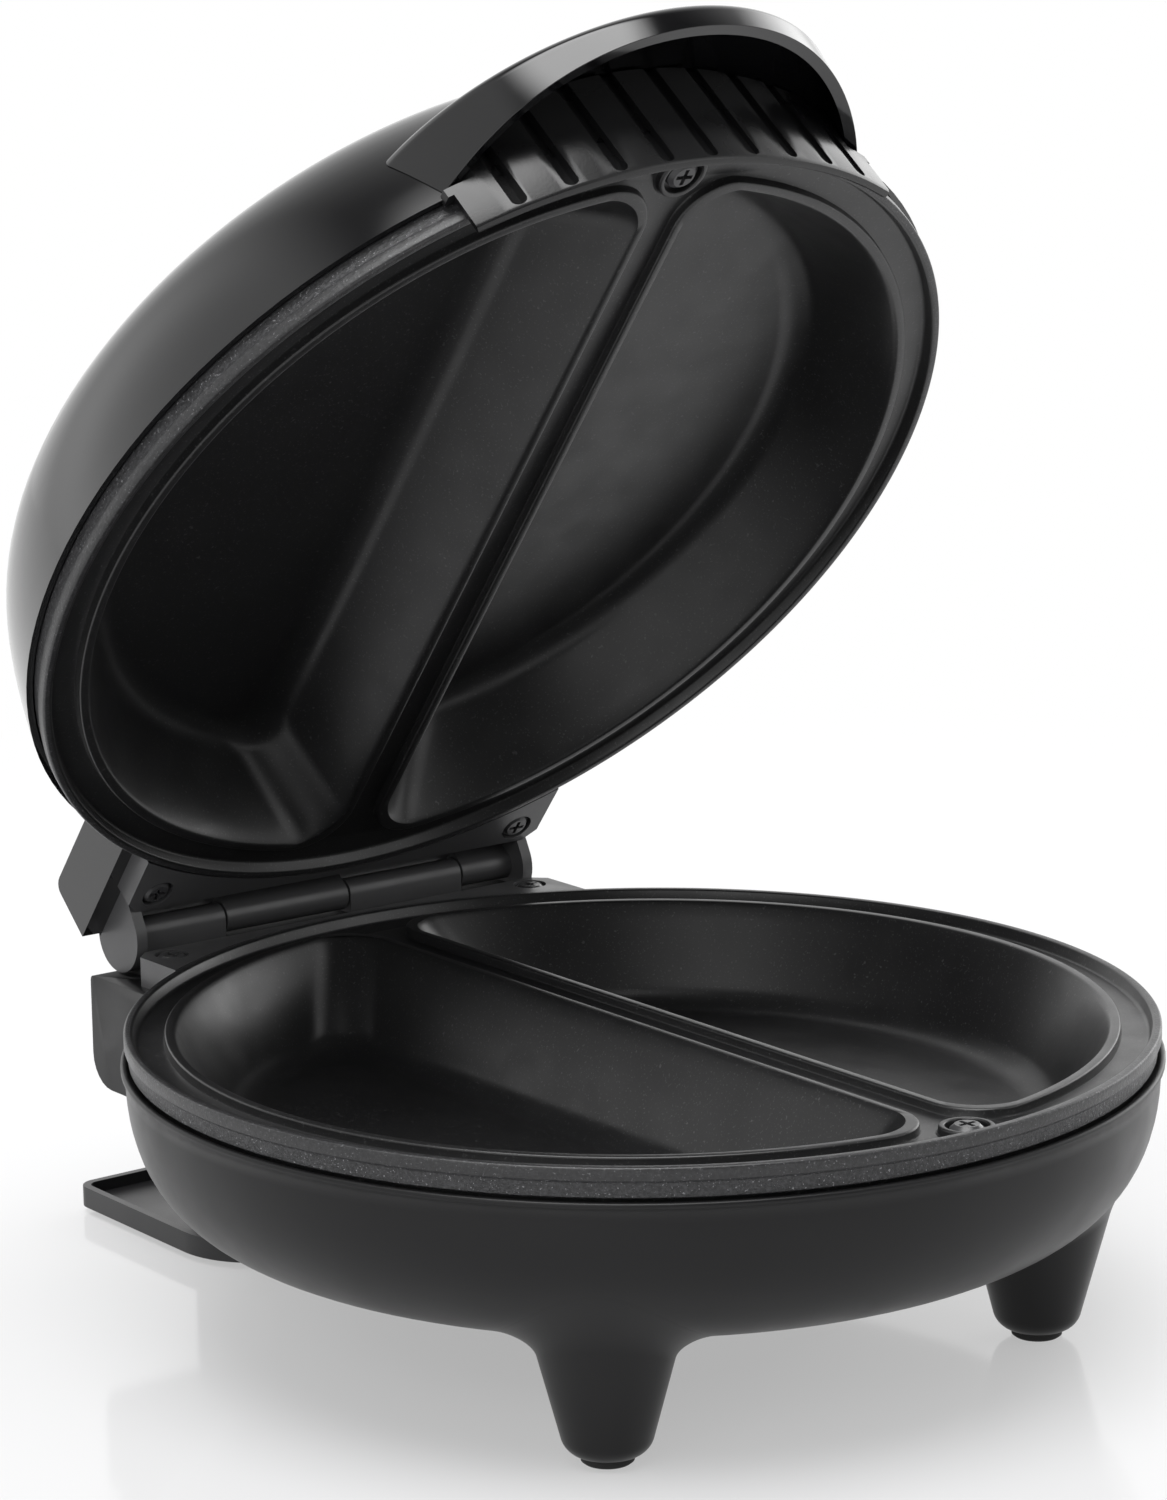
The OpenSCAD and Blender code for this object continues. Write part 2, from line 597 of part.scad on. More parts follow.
// what a leaf is cut away for: the round plates, and the lid's housing above its rim
module leaf_limits() {
    translate([0, 0, base_rim_z - cut]) cylinder(r = plate_r + run, h = lid_rim_z - base_rim_z + 2 * cut, $fn = fine);
    translate([-leaf_half_w - cut, leaf_y0, lid_rim_z]) cube([2 * (leaf_half_w + cut), leaf_len + lid_box_back + cut, 20]);
}

module base_hinge_leaf() color([0.13, 0.13, 0.14]) in_base() difference() {
    union() {
        leaf_plate(base_rim_z, base_leaf_z);
        translate([-ear_x + run, leaf_y1 - 6, base_rim_z])
            cube([2 * (ear_x - run), hinge_y + 2.4 - leaf_y1 + 6, hinge_z - web_z - base_rim_z]);
        for (n = [0, 2]) {
            knuckle(n);
            knuckle_web(n, -1);
        }
    }
    leaf_limits();
    pin_bore();
    // room for the lid's knuckles
    for (n = [1, 3]) translate([0, hinge_y, hinge_z])
        rod_x(knuckle_x[n] - knuckle_gap / 2, knuckle_x[n + 1] + (n == 3 ? 1 : knuckle_gap / 2), knuckle_r + run);
    mirror_x() translate([leaf_screw_x, leaf_screw_y, base_leaf_z - head_h]) {
        cylinder(r = head_r + 0.4, h = head_h + cut, $fn = round_fn);
        translate([0, 0, -12]) cylinder(r = screw_r + seat, h = 13, $fn = round_fn);
    }
}

module base_leaf_screws() color([0.25, 0.25, 0.26]) in_base() mirror_x()
    translate([leaf_screw_x, leaf_screw_y, base_leaf_z - head_h]) screw(base_leaf_z - head_h - base_rim_z + 10);

module hinge_pin() color([0.6, 0.6, 0.62]) in_base() translate([0, hinge_y, hinge_z]) rod_x(-ear_x + 0.2, ear_x - 0.2, pin_r);

module lid_hinge_leaf() color([0.13, 0.13, 0.14]) in_lid() difference() {
    union() {
        leaf_plate(lid_leaf_z, lid_rim_z);
        translate([-ear_x - ear_t, leaf_y1 - 6, hinge_z + web_z])
            cube([2 * (ear_x + ear_t), hinge_y + 2.4 - leaf_y1 + 6, lid_rim_z - hinge_z - web_z]);
        for (n = [1, 3]) {
            knuckle(n);
            knuckle_web(n, 1);
        }
        // ears that close off the pin's ends
        mirror_x() hull() {
            translate([0, hinge_y, hinge_z]) rod_x(ear_x, ear_x + ear_t, ear_r);
            translate([ear_x, leaf_y1 - 2, lid_rim_z - 1]) cube([ear_t, lid_box_y1 - leaf_y1 + 2, 1]);
        }
        translate([knuckle_x[4] - cut, hinge_y, hinge_z]) rod_x(0, cut + run + ear_t / 2, knuckle_r);
    }
    leaf_limits();
    pin_bore();
    for (n = [0, 2]) translate([0, hinge_y, hinge_z])
        rod_x(knuckle_x[n] - (n == 0 ? run : knuckle_gap / 2), knuckle_x[n + 1] + knuckle_gap / 2, knuckle_r + run);
    mirror_x() translate([leaf_screw_x, leaf_screw_y, lid_leaf_z - cut]) {
        cylinder(r = head_r + 0.4, h = head_h + cut, $fn = round_fn);
        cylinder(r = screw_r + seat, h = 14, $fn = round_fn);
    }
}

module lid_leaf_screws() color([0.25, 0.25, 0.26]) in_lid() mirror_x()
    translate([leaf_screw_x, leaf_screw_y, lid_leaf_z + head_h]) mirror([0, 0, 1]) screw(lid_rim_z - lid_leaf_z - head_h + 8);

// ---------------------------------------------------------------- lid
// height of the dome over its rim, at radius r, for a dome of rim radius edge
function dome_up(r, edge) = shoulder_h * (1 - pow(max(0, (r - shoulder_r) / (edge - shoulder_r)), dome_power))
    + crown_h * (1 - pow(r / edge, 2));

function dome_curve(edge, down) = concat(
    [for (i = [0:18]) let (u = pow(1 - i / 18, 0.46), r = shoulder_r + (edge - shoulder_r) * u) [r, lid_rim_z - down + dome_up(r, edge)]],
    [for (i = [1:8]) let (r = shoulder_r * (1 - i / 8)) [r, lid_rim_z - down + dome_up(r, edge)]]);

module dome_solid(grow = 0) {
    revolve(concat([[0, lid_rim_z - grow], [dome_r + grow, lid_rim_z - grow]], dome_curve(dome_r + grow, -grow)));
}

module dome_inside() {
    revolve(concat([[0, lid_rim_z - cut], [rebate_r, lid_rim_z - cut], [rebate_r, lid_ledge_z], [skirt_r - 0.6, lid_ledge_z]],
        [for (p = dome_curve(dome_r - wall, wall)) if (p[1] > lid_ledge_z && p[0] < skirt_r - 0.6) p]));
}

function lid_box_outline(in) = concat(
    [[lid_box_y0, lid_rim_z + in], [lid_box_y1 - in, lid_rim_z + in]],
    arc(lid_box_y1 - 3.6, lid_rim_z + lid_box_h - 2.6, 2.6 - min(in, 2), 0, 90, 5),
    [[lid_box_y0, lid_rim_z + lid_box_h - in]]);

module lid_box(in) { along_x(-box_half_w + in, box_half_w - in, lid_box_outline(in)); }

module lid_housing() color([0.04, 0.04, 0.045]) in_lid() difference() {
    union() {
        difference() {
            union() {
                dome_solid();
                lid_box(0);
            }
            dome_inside();
            lid_box(wall);
        }
        // bosses for the plate screw and the leaf screws
        translate([0, 0, upper_rim_z + body_under]) plate_boss();
        mirror_x() translate([leaf_screw_x, leaf_screw_y, lid_rim_z + 1]) cylinder(r = 4, h = 9, $fn = round_fn);
    }
    translate([0, -plate_screw_y, upper_rim_z]) cylinder(r = screw_r + seat, h = body_under + 15, $fn = round_fn);
    mirror_x() translate([leaf_screw_x, leaf_screw_y, lid_rim_z - cut]) cylinder(r = screw_r + seat, h = 10, $fn = round_fn);
    mirror_x() translate([lens_x, -lens_y, lid_rim_z + shoulder_h - 12]) cylinder(r = lens_r + seat, h = 30, $fn = round_fn);
}

// ---------------------------------------------------------------- handle
// the hood's round form, drawn in by the wall, leaning back from its front edge
module hood_form(in) {
    r = hood_r - in;
    e = max(hood_round_r - in, 0.3);
    top = -in * 1.04;
    translate([0, -hood_y - hood_r, hood_edge_z]) rotate([hood_tilt, 0, 0]) translate([0, hood_r, 0])
        rotate_extrude($fn = fine) polygon(concat(
            [[0, -34], [r, -34]],
            arc(r - e, top + hood_fall * e - e, e, 0, 90 - atan(hood_fall), 6),
            [[0, top + hood_fall * r]]));
}

// everything below the hood's lip, which dips towards its two ends
module below_lip() {
    low = lid_rim_z + 0.3;
    rise = [for (i = [-14:14]) let (x = i * 4.1) [x, max(low, lip_z - lip_dip * pow(abs(x) / 51, 4))]];
    translate([0, -plate_r + 40, 0]) rotate([90, 0, 0])
        linear_extrude(120) polygon(concat([[-64, upper_rim_z - 20], [-64, low]], rise, [[64, low], [64, upper_rim_z - 20]]));
}

module lid_handle() color([0.04, 0.04, 0.045]) in_lid() difference() {
    hood_form(0);
    union() {
        hood_form(hood_wall);
        below_lip();
        dome_solid(seat);
        translate([-hood_r - cut, -hood_y, upper_rim_z - 10]) cube([2 * (hood_r + cut), 70, 70]);
    }
}

module guard_ring() {
    revolve([
        [guard_in, guard_z0 + 0.6], [guard_in + 0.5, guard_z0], [guard_r - 0.9, guard_z0], [guard_r - 0.3, guard_z0 + 0.3],
        [guard_r, guard_z0 + 0.9], [guard_r, lid_rim_z + 22], [guard_in - 8, lid_rim_z + 22], [guard_in - 8, lid_rim_z],
        [guard_in, lid_rim_z]]);
}

module grooves() {
    side = (groove_count - 1) / 2;
    for (i = [-side:side]) translate([i * groove_pitch, 0, 0]) {
        foot_z = guard_z0 + 1 + groove_w / 2;
        face_y = sqrt(pow(guard_r - groove_deep, 2) - pow(i * groove_pitch, 2));
        translate([0, -face_y, foot_z]) rotate([90, 0, 0]) cylinder(r = groove_w / 2, h = 8, $fn = 32);
        translate([-groove_w / 2, -face_y - 8, foot_z]) cube([groove_w, 8, 40]);
    }
}

module finger_guard() color([0.12, 0.12, 0.13]) in_lid() difference() {
    intersection() {
        guard_ring();
        union() {
            translate([-guard_half_w, -guard_r - cut, guard_z0 - cut])
                cube([2 * guard_half_w, 40, guard_step_z - guard_z0 + cut]);
            intersection() {
                hood_form(hood_wall + 0.3);
                translate([-60, -guard_r - cut, guard_step_z - 1]) cube([120, 60, 40]);
            }
        }
    }
    dome_solid(seat);
    grooves();
    // chamfered ends
    mirror_x() translate([guard_half_w, -guard_r * cos(asin(guard_half_w / guard_r)), guard_z0 - cut])
        rotate([0, 0, 30]) translate([-1.2, -10, 0]) cube([10, 20, guard_step_z - guard_z0 - 1]);
}

module upper_plate() color([0.11, 0.11, 0.12]) in_lid() turned_over() plate();
module upper_plate_screw() color([0.25, 0.25, 0.26]) in_lid() turned_over() plate_screw();
module upper_element() color([0.45, 0.44, 0.42]) in_lid() turned_over() element();
module upper_insulators() color([0.9, 0.88, 0.82]) in_lid() turned_over() insulators();
module upper_reflector() color([0.75, 0.75, 0.76]) in_lid() turned_over() reflector();
module upper_reflector_screws() color([0.6, 0.6, 0.62]) in_lid() turned_over() reflector_screws();

lens_top = lid_rim_z + dome_up(lens_y, dome_r);
module lens() {
    translate([lens_x, -lens_y, lens_top - 6]) cylinder(r = lens_r, h = 6, $fn = round_fn);
    translate([lens_x, -lens_y, lens_top]) cylinder(r1 = lens_r, r2 = lens_r - 1, h = 0.6, $fn = round_fn);
}

module power_lens() color([0.7, 0.05, 0.04]) in_lid() mirror([1, 0, 0]) lens();
module ready_lens() color([0.05, 0.5, 0.12]) in_lid() lens();

lamp_h = 7;
module indicator_lamps() color([0.9, 0.6, 0.4]) in_lid() mirror_x()
    translate([lens_x, -lens_y, lens_top - 6 - lamp_h]) cylinder(r = 2.2, h = lamp_h, $fn = round_fn);

module lamp_holder() color([0.85, 0.83, 0.78]) in_lid() difference() {
    translate([-lens_x - 5, -lens_y - 4, lens_top - 8 - lamp_h]) cube([2 * lens_x + 10, 8, 5]);
    mirror_x() translate([lens_x, -lens_y, lens_top - 6 - lamp_h]) cylinder(r = 2.2 + seat, h = lamp_h, $fn = round_fn);
}

base_housing();
front_foot_pads();
cord_wrap_foot();
wrap_foot_pads();
wrap_foot_screws();
lower_plate();
lower_plate_screw();
lower_element();
lower_insulators();
lower_reflector();
lower_reflector_screws();
thermostat();
thermal_fuse();
terminal_block();
terminal_screws();
cord_bush();
base_hinge_leaf();
base_leaf_screws();
hinge_pin();
lid_housing();
lid_handle();
finger_guard();
upper_plate();
upper_plate_screw();
upper_element();
upper_insulators();
upper_reflector();
upper_reflector_screws();
lid_hinge_leaf();
lid_leaf_screws();
power_lens();
ready_lens();
indicator_lamps();
lamp_holder();
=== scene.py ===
"""Looks of the electric omelette maker, standing open in a plain pale studio.

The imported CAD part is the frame. Every visible node gets a procedural material and rounded shading.
Three nodes are drawn again inside their own outlines: the two cooking plates as smooth lofts, and the
base housing with front feet that flow into the bowl. Lengths are in millimetres unless a comment says
otherwise, and MM turns them into metres.
"""

import json
import math

import bmesh
import bpy
from mathutils import Matrix, Vector
from mathutils.geometry import tessellate_polygon

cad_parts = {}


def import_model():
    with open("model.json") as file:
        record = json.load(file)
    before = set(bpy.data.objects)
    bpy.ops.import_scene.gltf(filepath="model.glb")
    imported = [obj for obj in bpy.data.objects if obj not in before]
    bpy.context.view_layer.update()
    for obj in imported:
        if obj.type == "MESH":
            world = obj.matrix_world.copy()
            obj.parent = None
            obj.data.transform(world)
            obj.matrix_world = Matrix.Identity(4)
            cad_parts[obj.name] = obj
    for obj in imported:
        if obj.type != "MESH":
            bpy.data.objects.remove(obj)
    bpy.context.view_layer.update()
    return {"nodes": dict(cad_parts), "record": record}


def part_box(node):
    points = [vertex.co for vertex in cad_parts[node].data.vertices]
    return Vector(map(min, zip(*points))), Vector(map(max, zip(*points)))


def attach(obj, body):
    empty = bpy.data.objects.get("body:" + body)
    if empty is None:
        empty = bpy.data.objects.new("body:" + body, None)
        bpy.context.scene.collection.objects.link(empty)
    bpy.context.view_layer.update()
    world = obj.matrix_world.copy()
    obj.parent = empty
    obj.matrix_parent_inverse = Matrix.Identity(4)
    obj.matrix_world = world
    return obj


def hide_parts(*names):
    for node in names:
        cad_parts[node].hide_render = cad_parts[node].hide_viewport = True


MM = 0.001

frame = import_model()
RECORD = frame["record"]
SLOT_OF = {part["node"]: part["material_slot"] for part in RECORD["subparts"]}
BODY_OF = {node: body for body, nodes in RECORD["behaviour"]["bodies"].items() for node in nodes}

# ---------------------------------------------------------------- sizes, in millimetres
# cooking plates
PLATE_R = 104.0
PLATE_RIM_Z = 64.8
LID_GAP = 1.0             # between the plates' rims with the lid closed
RIM_W = 10.0              # from the plate's edge to its pockets
DIVIDER_W = 11.0
POCKET_DEPTH = 22.0
POCKET_SLOPE = math.radians(28)
POCKET_CORNER_R = 9.0
FLOOR_FILLET_R = 8.0
LIP_W = 1.9
LIP_DROP = 0.5            # from the rim down to the lip's crest
LIP_FOOT_W = 0.5          # the lip's flare into the channel
LIP_ROUND_R = 0.45
CHANNEL_DEPTH = 2.5
CREST_W = 1.7
CREST_FOOT_W = 1.4        # the crest's flare into the channel
CREST_ROUND_R = 0.5
SMOOTH_BAND_H = 2.6       # smooth part of the plate's side, above the grit-blasted band
SIDE_H = 6.1
SKIRT_H = 8.4
PLATE_WALL = 2.5
BAND_IN = 0.8
SKIRT_IN = 2.4
SIDE_MARK_IN = 1.3        # what lies further out than this belongs to the plate's side
PLATE_SCREW_Y = -97.0
BOSS_R = 5.4              # boss round the fixing screw
BOSS_HOLE_R = 4.2
BOSS_DROP = 0.9           # from the rim down to the boss's top
STUD_R = 4
STUD_DROP = 31.1          # from the rim down to the studs' ends
STUD_YS = (-42, 0, 42)
BORE_R = 1.6
BORE_TOP_DROP = 24

# base housing
BASE_RIM_Z = 58.3
BOWL_R = 104.0
BOWL_FLOOR_R = 50.0
BOWL_FLOOR_Z = 23.5
BOWL_TOP_BELOW_RIM = 1.2
BOWL_POWER = 2.3
BOWL_ROUND = 4.2
FOOT_X = 54.8
FOOT_Y = -58.1
FOOT_TIP_R = 9.0
FOOT_TOP_R = 13.2
FOOT_TOP_Z = 21.5
FOOT_ROUND_R = 4.6
FOOT_FILLET = 4.4
FOOT_SPREAD = 20.8        # radius at which the foot's blend has become the bowl
FOOT_BLEND_PULL = 0.85
FOOT_BLEND_STEPS = 16
OLD_FOOT_SPREAD = 5.2     # how far the CAD foot's flare reaches past its top radius
OLD_FOOT_GAP = 0.3        # what hangs further than this below the bowl is the CAD foot
PAD_T = 1.5

# hinge
HINGE_Y = 114.4
HINGE_Z = 66.6
LID_OPEN = math.radians(52)
# painted shade, near black, on the base leaf's low step below the lid's knuckles
SHADE_TOP_Z = 62.65      # just above the floor of the base leaf's low step
SHADE_EDGE = 0.05        # height over which it ends
SHADE_HALF_W = 52.0

# facets
TURN_STEPS = 256
DIVIDER_STEPS = 24
CORNER_STEPS = 12
ROUND_STEPS = 120
FLOOR_IN = 14             # how far a pocket's last ring lies inside its wall's foot
BOSS_STEPS = 48
STUD_STEPS = 40
FOOT_STEPS = 96
FLOOR_STEPS = 96
MERGE_M = 2e-6            # CAD vertices closer than this, in metres, are one
MERGE_MM = 0.002          # the same for pieces drawn here
FLAT_ANGLE = math.radians(0.05)     # faces that turn less than this are merged
BEVEL_ANGLE = math.radians(50)      # edges sharper than this are broken
PLATE_SMOOTH_ANGLE = 40             # degrees, as all angles up to which an edge is shaded smooth
BASE_SMOOTH_ANGLE = 48
USUAL_SMOOTH_ANGLE = 34
ALL_CURVED = ("lid_housing",)       # its crown is so nearly flat that merging faces would facet it

LOWER_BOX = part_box("lower_plate")
ORIGIN_Y = (LOWER_BOX[0].y + LOWER_BOX[1].y) / 2 / MM      # the plates' axis, seen from the frame's origin

POCKET_R = PLATE_R - RIM_W
UPPER_RIM_Z = PLATE_RIM_Z + LID_GAP

# from pieces drawn about the lower plate's axis to the frame, in metres
TO_FRAME = Matrix.Scale(MM, 4) @ Matrix.Translation((0, ORIGIN_Y, 0))
SWING = (
    Matrix.Translation((0, HINGE_Y, HINGE_Z))
    @ Matrix.Rotation(-LID_OPEN, 4, "X")
    @ Matrix.Translation((0, -HINGE_Y, -HINGE_Z))
)
LID_TO_FRAME = TO_FRAME @ SWING
TURN_OVER = Matrix.Translation((0, 0, PLATE_RIM_Z + UPPER_RIM_Z)) @ Matrix.Scale(-1, 4, (0, 0, 1))


# ---------------------------------------------------------------- material helpers
class Shader:
    """A Principled material with short calls for its procedural inputs."""

    def __init__(self, name, color, roughness, metallic=0.0, specular=0.5, coat=0.0, coat_roughness=0.05):
        self.mat = bpy.data.materials.new(name)
        self.mat.use_nodes = True
        self.tree = self.mat.node_tree
        self.bsdf = self.tree.nodes["Principled BSDF"]
        self.put("Base Color", (*color, 1))
        self.put("Roughness", roughness)
        self.put("Metallic", metallic)
        self.put("Specular IOR Level", specular)
        self.put("Coat Weight", coat)
        self.put("Coat Roughness", coat_roughness)
        self.coords = self.tree.nodes.new("ShaderNodeTexCoord").outputs["Object"]

    def put(self, socket, value):
        self.bsdf.inputs[socket].default_value = value

    def node(self, kind, **inputs):
        n = self.tree.nodes.new("ShaderNode" + kind)
        for key, value in inputs.items():
            self.set(n.inputs[key.replace("_", " ")], value)
        return n

    def set(self, socket, value):
        if hasattr(value, "is_output"):
            self.tree.links.new(value, socket)
        else:
            socket.default_value = value

    def noise(self, size_mm, detail=3.0, roughness=0.5):
        """Noise with features of about size_mm."""
        scale = 1 / (size_mm * MM)
        n = self.node("TexNoise", Vector=self.coords, Scale=scale, Detail=detail, Roughness=roughness)
        return n.outputs["Fac"]

    def ramp(self, fac, low, high, out_low=0.0, out_high=1.0):
        """Stretches fac from [low, high] to [out_low, out_high], clamped."""
        n = self.node("MapRange", Value=fac, From_Min=low, From_Max=high, To_Min=out_low, To_Max=out_high)
        return n.outputs["Result"]

    def math(self, operation, a, b=0.0):
        n = self.tree.nodes.new("ShaderNodeMath")
        n.operation = operation
        self.set(n.inputs[0], a)
        self.set(n.inputs[1], b)
        return n.outputs[0]

    def mix_color(self, fac, a, b):
        n = self.tree.nodes.new("ShaderNodeMix")
        n.data_type = "RGBA"
        self.set(n.inputs["Factor"], fac)
        for socket, value in ((n.inputs[6], a), (n.inputs[7], b)):
            self.set(socket, value if hasattr(value, "is_output") else (*value, 1))
        return n.outputs[2]

    def bump(self, height, distance_mm, under=None):
        n = self.node("Bump", Height=height, Distance=distance_mm * MM, Strength=1.0)
        if under is not None:
            self.set(n.inputs["Normal"], under)
        return n.outputs["Normal"]

    def link(self, socket, output):
        self.tree.links.new(output, self.bsdf.inputs[socket])

    def axis_distance(self, split):
        """Distance from the Z axis, from a SeparateXYZ node."""
        x, y = (self.math("POWER", split.outputs[i], 2.0) for i in (0, 1))
        return self.math("SQRT", self.math("ADD", x, y))


def satin_plastic(name, color, roughness, grain_mm=0.5, grain_depth_mm=0.004, specular=0.5):
    """Moulded plastic with a fine spark-eroded grain and slightly uneven sheen."""
    s = Shader(name, color, roughness, specular=specular)
    s.link("Roughness", s.ramp(s.noise(18, 4), 0.35, 0.65, roughness - 0.03, roughness + 0.04))
    darker, lighter = (tuple(c * share for c in color) for share in (0.92, 1.06))
    s.link("Base Color", s.mix_color(s.ramp(s.noise(60, 2), 0.3, 0.7), darker, lighter))
    s.link("Normal", s.bump(s.noise(grain_mm, 2), grain_depth_mm))
    return s.mat


def gloss_plastic(name, color, roughness):
    """Polished moulding with a faint waviness and a few dull rubs."""
    s = Shader(name, color, roughness, coat=0.3, coat_roughness=0.04)
    wipe = s.node("TexNoise", Vector=s.coords, Scale=900.0, Detail=1.0).outputs["Fac"]
    rubs = s.ramp(wipe, 0.68, 0.8, 0.0, 0.05)
    s.link("Roughness", s.math("ADD", s.ramp(s.noise(30, 3), 0.4, 0.7, roughness, roughness + 0.05), rubs))
    s.link("Normal", s.bump(s.noise(26, 1), 0.02))
    return s.mat


def coated_metal(name, color, roughness):
    """Painted or blackened steel with a fine orange peel."""
    s = Shader(name, color, roughness)
    s.link("Roughness", s.ramp(s.noise(7, 4), 0.35, 0.7, roughness - 0.05, roughness + 0.08))
    s.link("Normal", s.bump(s.noise(2.5, 2), 0.01))
    return s.mat


def base_leaf_coating(name, color, roughness):
    """The hinge coating, with painted shade on the low step below the lid's knuckles: near-black colour and a
    rougher finish there.
    """
    s = Shader(name, color, roughness)
    place = s.node("SeparateXYZ", Vector=s.coords)
    low = s.ramp(place.outputs[2], SHADE_TOP_Z * MM, (SHADE_TOP_Z + SHADE_EDGE) * MM, 1.0, 0.0)
    between = s.math("LESS_THAN", s.math("ABSOLUTE", place.outputs[0]), SHADE_HALF_W * MM)
    painted_shade = s.math("MULTIPLY", low, between)
    unshaded_roughness = s.ramp(s.noise(7, 4), 0.35, 0.7, roughness - 0.05, roughness + 0.08)
    s.link("Roughness", s.math("ADD", unshaded_roughness, s.math("MULTIPLY", painted_shade, 0.55)))
    # painted shade: the low step is coloured near black
    s.link("Base Color", s.mix_color(painted_shade, color, (0.01, 0.01, 0.01)))
    s.link("Normal", s.bump(s.noise(2.5, 2), 0.01))
    return s.mat


def bare_metal(name, color, roughness):
    """Plain or plated metal with a fine uneven grain."""
    s = Shader(name, color, roughness, metallic=1.0)
    s.link("Roughness", s.ramp(s.noise(0.4, 3), 0.3, 0.7, roughness - 0.06, roughness + 0.1))
    s.link("Normal", s.bump(s.noise(0.4, 2), 0.003))
    return s.mat


def nonstick(name, lid):
    """Dark speckled nonstick coating; the side band below the rim is grit-blasted and paler."""
    s = Shader(name, (0.022, 0.022, 0.023), 0.33)
    speck = s.ramp(s.noise(0.5, 1, 0.5), 0.64, 0.72)
    fleck = s.ramp(s.noise(1.1, 1, 0.5), 0.74, 0.78)
    base = s.mix_color(s.ramp(s.noise(40, 3), 0.3, 0.7), (0.011, 0.011, 0.0115), (0.015, 0.015, 0.0155))
    base = s.mix_color(s.math("MULTIPLY", speck, 0.45), base, (0.08, 0.08, 0.08))
    base = s.mix_color(s.math("MULTIPLY", fleck, 0.5), base, (0.10, 0.10, 0.10))
    # place in metres from the middle of the plate's rim, turned to the plate's own axis
    place = s.tree.nodes.new("ShaderNodeVectorMath")
    turn = s.tree.nodes.new("ShaderNodeMapping")
    turn.vector_type = "POINT"
    if lid:
        turn.inputs["Rotation"].default_value = (LID_OPEN, 0, 0)
        centre = LID_TO_FRAME @ Vector((0, 0, UPPER_RIM_Z))
    else:
        centre = TO_FRAME @ Vector((0, 0, PLATE_RIM_Z))
    place.operation = "SUBTRACT"
    s.set(place.inputs[0], s.coords)
    place.inputs[1].default_value = centre
    s.set(turn.inputs["Vector"], place.outputs[0])
    split = s.node("SeparateXYZ", Vector=turn.outputs[0])
    depth = s.math("ABSOLUTE", split.outputs[2])
    on_side = s.math("GREATER_THAN", s.axis_distance(split), (PLATE_R - SIDE_MARK_IN) * MM)
    below_smooth = s.ramp(depth, SMOOTH_BAND_H * MM, (SMOOTH_BAND_H + 0.1) * MM, 0.45, 1.0)
    on_band = s.math("MULTIPLY", on_side, below_smooth)
    grit = s.ramp(s.noise(0.7, 3, 0.7), 0.42, 0.66, 0.25, 1.0)
    base = s.mix_color(s.math("MULTIPLY", on_band, s.math("MULTIPLY", grit, 0.7)), base, (0.085, 0.085, 0.09))
    glint = s.ramp(s.noise(0.45, 1, 0.5), 0.68, 0.72)
    base = s.mix_color(s.math("MULTIPLY", on_band, glint), base, (0.26, 0.26, 0.27))
    s.link("Base Color", base)
    smooth = s.ramp(s.noise(9, 4), 0.3, 0.7, 0.29, 0.37)
    s.link("Roughness", s.math("ADD", smooth, s.math("MULTIPLY", on_band, 0.08)))
    fine = s.bump(s.noise(0.45, 2), 0.006)
    s.link("Normal", s.bump(s.math("MULTIPLY", s.noise(0.9, 3, 0.7), on_band), 0.25, under=fine))
    return s.mat


def clear_plastic(name, color):
    """Tinted lens, partly see-through."""
    s = Shader(name, color, 0.12, coat=0.5)
    s.put("Transmission Weight", 0.35)
    s.link("Normal", s.bump(s.noise(3, 1), 0.01))
    return s.mat


def ceramic(name, color):
    """Unglazed ceramic with dull patches."""
    s = Shader(name, color, 0.6)
    dull = tuple(c * 0.85 for c in color)
    s.link("Base Color", s.mix_color(s.ramp(s.noise(1.5, 3), 0.4, 0.7), color, dull))
    s.link("Normal", s.bump(s.noise(0.4, 2), 0.01))
    return s.mat


# ---------------------------------------------------------------- mesh helpers
def mesh_object(name, bm, matrix, material, angle):
    """Turns bm, drawn in millimetres, into a smooth-shaded object in the frame."""
    bm.transform(matrix)
    bmesh.ops.recalc_face_normals(bm, faces=bm.faces)
    mesh = bpy.data.meshes.new(name)
    bm.to_mesh(mesh)
    bm.free()
    mesh.shade_smooth()
    mesh.set_sharp_from_angle(angle=math.radians(angle))
    mesh.materials.append(material)
    obj = bpy.data.objects.new(name, mesh)
    bpy.context.scene.collection.objects.link(obj)
    return obj


def revolve(bm, profile, steps=TURN_STEPS, centre_y=0):
    """Turns a list of (radius, z) about the upright line through (0, centre_y)."""
    stitch(bm, [[bm.verts.new((x, centre_y + y, z)) for x, y in circle(r, steps)] for r, z in profile])


def stitch(bm, rings):
    """Joins closed rings of equally many vertices, one after the other."""
    for a, b in zip(rings, rings[1:]):
        n = len(a)
        for i in range(n):
            bm.faces.new((a[i], a[(i + 1) % n], b[(i + 1) % n], b[i]))


def arc(cx, cz, r, start, end, steps):
    """Points of an arc in degrees, as (x, z)."""
    angles = [math.radians(start + (end - start) * i / steps) for i in range(steps + 1)]
    return [(cx + r * math.cos(a), cz + r * math.sin(a)) for a in angles]


def half_moon(inset, corner, side):
    """Outline of a pocket drawn in by inset, as (x, y), the same number of points each time."""
    edge = DIVIDER_W / 2 + inset
    reach = POCKET_R - inset
    cy = math.sqrt((reach - corner) ** 2 - (edge + corner) ** 2)
    phi = math.degrees(math.atan2(cy, edge + corner))
    points = [(edge, -cy + 2 * cy * i / DIVIDER_STEPS) for i in range(DIVIDER_STEPS)]
    points += arc(edge + corner, cy, corner, 180, phi, CORNER_STEPS)[:-1]
    points += arc(0, 0, reach, phi, -phi, ROUND_STEPS)[:-1]
    points += arc(edge + corner, -cy, corner, -phi, -180, CORNER_STEPS)[:-1]
    return [(side * x, y) for x, y in points]


